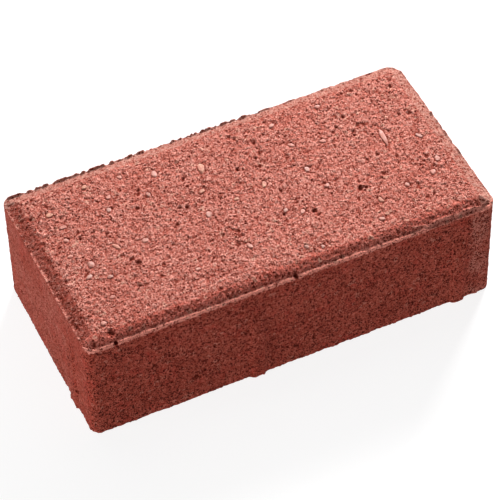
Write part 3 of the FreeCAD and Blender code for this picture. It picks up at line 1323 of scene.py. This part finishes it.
@dataclass
class BackingCourse:
    """The coarse lower course with its bed face and six joint nibs."""

    shape: BlockShape
    relief: ConcreteRelief
    rows: int = 67
    nib_proud: float = 1.55
    nib_half_width: float = 4.5
    nib_flank: float = 2.3
    nib_face_top: float = 34.0
    nib_root_top: float = 45.0
    nib_pitch: float = 100.0
    long_side_nib: float = 81.3
    end_nib: float = 28.0
    end_nib_wear: float = 0.68
    arris: float = 1.3

    def nibs(self, points: Array, outward: Array) -> Array:
        """Work out how far the nibs stand proud.

        Args:
            points: Places on the sides.
            outward: Unit normals in plan.

        Returns:
            The distance at each place.
        """
        x, y, z = points.T
        fade = ease(self.nib_root_top, self.nib_face_top, z + 1.6 * Noise(51).smooth(points, 4.0))
        proud = np.zeros(len(points))
        for half_turn in (1.0, -1.0):
            on_long = outward[:, 1] * half_turn < -0.9
            for middle in (self.long_side_nib, self.long_side_nib - self.nib_pitch):
                proud += on_long * self.nib_section(x * half_turn - middle)
            on_end = outward[:, 0] * half_turn < -0.9
            proud += on_end * self.nib_section(y * half_turn + self.end_nib, 0.5) * self.end_nib_wear
        wear = 1.0 - 0.10 * (1.0 + Noise(52).smooth(points, 3.0))
        return self.nib_proud * proud * fade * wear

    def nib_section(self, offset: Array, slack: float = 1.0) -> Array:
        """Give a nib's section across, 1 over its face and 0 beside it; slack widens its flanks."""
        return ease(self.nib_half_width, self.nib_half_width - self.nib_flank * slack, np.abs(offset))

    def build(self) -> bpy.types.Object:
        """Build the course.

        Returns:
            The finished piece.
        """
        shape = self.shape
        shell = GridShell(shape.lines(shape.half_length), shape.lines(shape.half_width), self.rows, 0, 2)
        levels = np.linspace(0.0, shape.bond_level, self.rows)
        plan = shape.round_corners(shell.box)
        level = levels[shell.row]
        worn_plan, _ = shape.wear_corner(plan, shape.inset(plan))
        worn = ease(shape.bond_level - 25.0, shape.bond_level, level)
        points = np.concatenate([plan, level[:, None]], axis=1)
        wall = ~shell.cap_points
        core = np.array([shape.half_length, shape.half_width]) - shape.corner_radius
        outward = np.zeros_like(plan)
        sign = np.where(plan < 0, -1.0, 1.0)
        past = np.maximum(np.abs(plan) - core, 0.0)
        outward[wall] = (sign * past)[wall] / np.linalg.norm(past[wall], axis=1, keepdims=True)
        points[:, :2] += outward * (self.nibs(points, outward) * wall)[:, None]
        points[:, :2] += (worn_plan - plan) * worn[:, None]

        skin = Skin(points, vertex_normals(points, shell.quads), {})
        on_bed = np.where(wall, ease(0.6, 0.0, level), 1.0)
        near_bond = ease(shape.bond_level - 8.0, shape.bond_level, level)
        shares = {
            Cast.BED: on_bed,
            Cast.BACKING_SIDE: (1.0 - on_bed) * (1.0 - near_bond),
            Cast.FACING_SIDE: (1.0 - on_bed) * near_bond,
        }
        self.relief.apply(skin, shares, np.zeros(len(points)))
        self.wear_arris(skin, wall, outward, plan)
        skin.marks["dust"] = dust(skin.points)
        # The side mark gives the backing course's sides their painted shade, less at the back and the right
        # end.
        skin.marks["side"] = shape.weathering(points)
        keep_bond(skin, shell, shape)
        skin.points[:, 2] = np.maximum(skin.points[:, 2], 0.0)

        material = ConcreteFinish("backing_concrete").make()
        piece = make_piece("backing_course_cast", skin.points, shell.faces, skin.marks, material)
        lay_out(piece, shell, levels, backing_patches(shape))
        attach(piece, "root")
        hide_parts("backing_course")
        return piece

    def wear_arris(self, skin: Skin, wall: Array, outward: Array, plan: Array) -> None:
        """Round and chip the edge round the bed face.

        Args:
            skin: The skin to change.
            wall: Which points are on the sides.
            outward: Unit normals in plan.
            plan: The points' places in plan before any relief.
        """
        chips = np.clip(0.50 + 0.7 * Noise(53).layered(skin.points, 7.0, 4), 0.15, 1.5) * self.arris
        from_bed = np.where(wall, skin.points[:, 2], 0.0)
        inset = np.where(wall, 0.0, self.shape.inset(plan))
        near = np.clip(1.0 - (np.abs(from_bed) + inset) / np.maximum(chips, 0.05), 0.0, 1.0)
        cut = near**2 * chips * 0.62
        skin.points[:, :2] -= outward * cut[:, None]
        skin.points[:, 2] += cut * np.where(wall, ease(1.6, 0.0, from_bed), 1.0)


def backing_patches(shape: BlockShape) -> dict[Side, Patch]:
    """Set out the backing course's sides on the bake map.

    Args:
        shape: The block's sizes.

    Returns:
        A patch for each side.
    """
    gap = 2.0
    row = shape.bond_level + gap
    width = shape.half_width * 2
    return {
        Side.FRONT: Patch(gap, gap),
        Side.BACK: Patch(gap, gap + row),
        Side.RIGHT: Patch(gap, gap + 2 * row),
        Side.LEFT: Patch(gap + width + gap, gap + 2 * row),
        Side.BOTTOM: Patch(gap, gap + 3 * row, 0.5),
        Side.TOP: Patch(gap + shape.half_length + gap, gap + 3 * row, 0.48),
    }


@dataclass
class SurfaceStones:
    """The stones that show in the wearing face."""

    shape: BlockShape
    pebbles: list[Pebble]
    materials: dict[StoneKind, bpy.types.Material] = field(default_factory=dict)

    def build(self) -> list[bpy.types.Object]:
        """Build every stone.

        Returns:
            The finished pieces.
        """
        for kind in StoneKind:
            self.materials[kind] = kind.value.make()
        return [self.build_one(number, pebble) for number, pebble in enumerate(self.pebbles)]

    def build_one(self, number: int, pebble: Pebble) -> bpy.types.Object:
        """Build one worn, slightly angular stone inside its CAD solid's box.

        Args:
            number: The stone's place in the list, which seeds its shape.
            pebble: Its place and sizes.

        Returns:
            The finished piece.
        """
        ball, faces = unit_ball()
        noise = Noise(700 + number)
        swell = 1.0 + 0.14 * noise.smooth(ball * 1.0 + 5.0, 0.9) + 0.08 * noise.smooth(ball, 0.35)
        for cut in range(7):
            normal = unit_vector(noise, cut)
            depth = 0.74 + 0.18 * float(noise.draw(np.array([[cut, 3, 9]]), 7)[0])
            over = np.maximum(ball @ normal * swell - depth, 0.0)
            swell = swell - over * 0.82 / np.maximum(ball @ normal, 0.2)
        body = ball * swell[:, None]
        body /= np.abs(body).max(axis=0)

        top = self.shape.height + 0.03 + 0.11 * float(noise.draw(np.array([[1, 2, 3]]), 5)[0])
        middle_level = (top + pebble.bottom) / 2
        across = np.array([-pebble.along[1], pebble.along[0]])
        plan = pebble.middle + np.outer(body[:, 0] * pebble.half_length, pebble.along)
        plan += np.outer(body[:, 1] * pebble.half_width, across)
        flattened = np.where(body[:, 2] > 0, 1.0 - (1.0 - np.maximum(body[:, 2], 0.0)) ** 2.2, body[:, 2])
        level = middle_level + flattened * (top - middle_level)
        level = level + 0.035 * noise.layered(ball, 0.3, 2)
        points = np.concatenate([plan, level[:, None]], axis=1)

        kind = StoneKind.of_node(pebble.node)
        slender = 1.0 - pebble.half_width / pebble.half_length
        covered = ease(0.80, 0.30, body[:, 2] + 0.30 * noise.layered(ball * 1.0 + 9.0, 0.5, 2))
        covered = np.clip(covered + 0.9 * slender - 0.35, covered, 1.0)
        marks = {"film": covered}
        piece = make_piece(f"{pebble.node}_pebble", points, faces, marks, self.materials[kind])
        ball_map(piece, ball)
        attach(piece, "root")
        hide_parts(pebble.node)
        return piece


def unit_vector(noise: Noise, number: int) -> Array:
    """Draw one direction, spread evenly over the ball.

    Args:
        noise: The source of the draw.
        number: Which draw it is.

    Returns:
        A vector of length 1.
    """
    cell = np.array([[number, 1, 2]])
    height = 2.0 * float(noise.draw(cell, 5)[0]) - 1.0
    turn = 2.0 * math.pi * float(noise.draw(cell, 6)[0])
    across = math.sqrt(1.0 - height * height)
    return np.array([across * math.cos(turn), across * math.sin(turn), height])


def unit_ball(rings: int = 18) -> tuple[Array, list[tuple[int, ...]]]:
    """Make a ball of radius 1 from a box whose sides are grids, so that no point is a pole.

    Args:
        rings: Squares along each edge of the box.

    Returns:
        The points and the faces.
    """
    lines = np.linspace(-1.0, 1.0, rings + 1)
    shell = GridShell(lines, lines, rings + 1, 1, 1)
    level = lines[shell.row]
    box = np.concatenate([shell.box, level[:, None]], axis=1)
    bent = np.tan(box * math.pi / 4)
    ball = bent / np.linalg.norm(bent, axis=1, keepdims=True)
    return ball, [tuple(face) for face in shell.faces]


def ball_map(piece: bpy.types.Object, ball: Array) -> None:
    """Unwrap a stone: the half that shows fills most of the map, the buried half the rest.

    Args:
        piece: The stone's object.
        ball: Its points on the unit ball.
    """
    mesh = piece.data
    corners = np.zeros(len(mesh.loops), dtype=np.int64)
    mesh.loops.foreach_get("vertex_index", corners)
    starts = np.zeros(len(mesh.polygons), dtype=np.int64)
    counts = np.zeros(len(mesh.polygons), dtype=np.int64)
    mesh.polygons.foreach_get("loop_start", starts)
    mesh.polygons.foreach_get("loop_total", counts)
    mean_level = np.add.reduceat(ball[corners, 2], starts) / counts
    upper = np.repeat(mean_level > 0, counts)
    level = np.clip(np.abs(ball[corners, 2]), 0.0, 1.0)
    radius = np.sqrt(np.maximum(1.0 - level, 0.0))
    turn = np.arctan2(ball[corners, 1], ball[corners, 0])
    scale = np.where(upper, 0.31, 0.16)
    middle = np.where(upper[:, None], (0.33, 0.33), (0.83, 0.83))
    places = middle + (radius * scale)[:, None] * np.stack([np.cos(turn), np.sin(turn)], axis=1)
    layer = mesh.uv_layers.new(name=BAKE_MAP)
    layer.uv.foreach_set("vector", places.astype(np.float32).ravel())


# ---- Studio ----


@dataclass(frozen=True)
class Softbox:
    """One square soft light that looks at the block."""

    name: str
    place: tuple[float, float, float]
    size: float
    power: float
    colour: Colour = (1.0, 1.0, 1.0)

    def build(self, target: Vector) -> bpy.types.Object:
        """Hang the light.

        Args:
            target: What it points at.

        Returns:
            The light's object.
        """
        lamp = bpy.data.lights.new(self.name, "AREA")
        lamp.shape = "SQUARE"
        lamp.size = self.size
        lamp.energy = self.power
        lamp.color = self.colour
        light = bpy.data.objects.new(self.name, lamp)
        light.location = Vector(self.place)
        light.rotation_euler = (target - light.location).to_track_quat("-Z", "Y").to_euler()
        bpy.context.scene.collection.objects.link(light)
        return light


@dataclass(frozen=True)
class Viewpoint:
    """The camera: where it stands round the block's middle, and its lens."""

    azimuth: float = -23.96
    elevation: float = 48.62
    roll: float = -1.47
    distance: float = 1.2357
    slide: tuple[float, float] = (0.00037, -0.0031)
    lens: float = 196.57
    sensor: float = 36.0

    def build(self, target: Vector) -> bpy.types.Object:
        """Set up the camera and make it the scene's.

        Args:
            target: The block's middle.

        Returns:
            The camera's object.
        """
        turn, tone_and_highlight, roll = (math.radians(angle) for angle in (self.azimuth, self.elevation, self.roll))
        back = Vector((math.sin(turn) * math.cos(tone_and_highlight), -math.cos(turn) * math.cos(tone_and_highlight), math.sin(tone_and_highlight)))
        level = Vector((math.cos(turn), math.sin(turn), 0.0))
        upright = back.cross(level)
        right = level * math.cos(roll) + upright * math.sin(roll)
        up = upright * math.cos(roll) - level * math.sin(roll)
        lens = bpy.data.cameras.new("camera")
        lens.lens = self.lens
        lens.sensor_width = self.sensor
        lens.clip_start = 0.01
        lens.clip_end = 20.0
        camera = bpy.data.objects.new("camera", lens)
        place = target + back * self.distance + right * self.slide[0] + up * self.slide[1]
        camera.matrix_world = Matrix(
            [
                (right.x, up.x, back.x, place.x),
                (right.y, up.y, back.y, place.y),
                (right.z, up.z, back.z, place.z),
                (0.0, 0.0, 0.0, 1.0),
            ]
        )
        bpy.context.scene.collection.objects.link(camera)
        bpy.context.scene.camera = camera
        return camera


@dataclass
class Studio:
    """Pale floor, soft light and camera."""

    target: Vector
    softboxes: tuple[Softbox, ...] = (
        Softbox("key_softbox", (0.95, 1.05, 0.80), 0.6, 57.0),
        Softbox("left_softbox", (-1.25, -0.15, 0.45), 0.8, 6.3),
        Softbox("overhead_softbox", (0.1, 0.75, 1.5), 1.3, 6.0),
    )
    ambient: float = 0.01
    floor_size: float = 8.0

    def build(self) -> None:
        """Build the floor, the lights, the surrounding light and the camera."""
        half = self.floor_size / 2 / MM
        corners = np.array([(-half, -half, 0.0), (half, -half, 0.0), (half, half, 0.0), (-half, half, 0.0)])
        floor = make_piece("floor", corners, [(0, 1, 2, 3)], {}, TableFinish().make())
        for softbox in self.softboxes:
            softbox.build(self.target)
        self.surround()
        Viewpoint().build(self.target)
        bpy.context.scene.view_settings.view_transform = "Standard"

    def surround(self) -> None:
        """Light the room evenly, and show it white where the floor ends."""
        world = bpy.data.worlds.new("room")
        world.use_nodes = True
        tree = world.node_tree
        path = tree.nodes.new("ShaderNodeLightPath")
        spread = tree.nodes.new("ShaderNodeMapRange")
        spread.inputs["To Min"].default_value = self.ambient
        spread.inputs["To Max"].default_value = 0.95
        tree.links.new(path.outputs["Is Camera Ray"], spread.inputs["Value"])
        background = tree.nodes["Background"]
        background.inputs["Color"].default_value = (1.0, 1.0, 1.0, 1.0)
        tree.links.new(spread.outputs["Result"], background.inputs["Strength"])
        bpy.context.scene.world = world


# ---- Putting it together ----


def chosen_hollows(shape: BlockShape) -> tuple[Spot, ...]:
    """Set the larger voids, each given to the nearest 0.5 mm.

    Args:
        shape: The block's sizes.

    Returns:
        The voids of the wearing face and the front.
    """
    face = shape.height - 0.2
    front = -shape.half_width
    on_face = [
        (-7.5, -13.0, 1.3), (10.5, -15.0, 1.1), (47.5, -16.0, 1.9), (50.5, -16.5, 1.0), (8.0, 38.0, 1.4),
        (17.0, 30.5, 1.4), (3.0, 18.5, 1.5), (5.5, 17.0, 0.9), (89.0, 16.0, 1.7), (91.5, 15.5, 1.2),
        (84.0, 17.5, 1.4), (60.5, 27.0, 1.1), (-26.5, 7.5, 1.5), (-91.5, -9.5, 1.2), (-63.5, -25.5, 1.0),
        (-85.0, -44.5, 2.3), (32.0, 6.0, 1.3), (47.5, 24.5, 1.0), (76.0, -33.0, 1.2), (35.0, -9.0, 0.9),
        (-92.0, 31.0, 1.4), (-21.0, 24.0, 0.9), (28.0, 34.0, 1.2), (23.0, 33.0, 0.9), (-76.5, 11.0, 1.0),
        (1.0, -29.5, 0.8), (23.0, -19.0, 1.2), (-25.5, -28.5, 0.9), (88.5, 35.0, 1.4), (64.0, -1.0, 1.2),
    ]
    on_front = [
        (-49.0, 15.0, 1.7), (-44.5, 17.0, 1.1), (44.5, 42.5, 1.4), (47.5, 40.0, 1.2), (66.0, 38.0, 1.6),
        (-39.5, 31.5, 1.2), (-97.0, 41.0, 1.2), (-91.0, 33.0, 1.0), (-60.5, 17.5, 1.2), (-84.0, 14.0, 1.1),
        (-23.5, 32.5, 1.1), (-68.0, 33.0, 1.2), (63.0, 13.5, 0.9), (-12.0, 17.0, 0.9), (9.0, 12.0, 1.0),
    ]
    notch = Spot((0.6, front + 0.8, shape.foot + 0.3), 1.3, 0.8)
    gap = Spot((-84.8, front + 0.4, shape.foot), 1.2, 0.9)
    return (
        *(Spot((x, y, face), radius * 0.85, 0.95) for x, y, radius in on_face),
        *(Spot((x, front, z), radius * 0.8, 0.8) for x, z, radius in on_front),
        notch,
        gap,
    )


def main() -> None:
    """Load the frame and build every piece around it."""
    logging.basicConfig(level=logging.INFO, format="%(message)s")
    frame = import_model()

    shape = BlockShape.from_frame()
    relief = ConcreteRelief(shape, chosen_hollows(shape))
    stone_nodes = sorted(name for name in frame["nodes"] if not name.endswith("_course"))
    pebbles = [Pebble.from_node(name, frame["nodes"][name]) for name in stone_nodes]

    facing = FacingCourse(shape, relief, pebbles).build()
    LOG.info("facing course: %d faces", len(facing.data.polygons))
    backing = BackingCourse(shape, relief).build()
    LOG.info("backing course: %d faces", len(backing.data.polygons))
    stones = SurfaceStones(shape, pebbles).build()
    LOG.info("stones: %d", len(stones))
    Studio(Vector((0.0, 0.0, shape.height * MM / 2))).build()


if __name__ == "__main__":
    main()
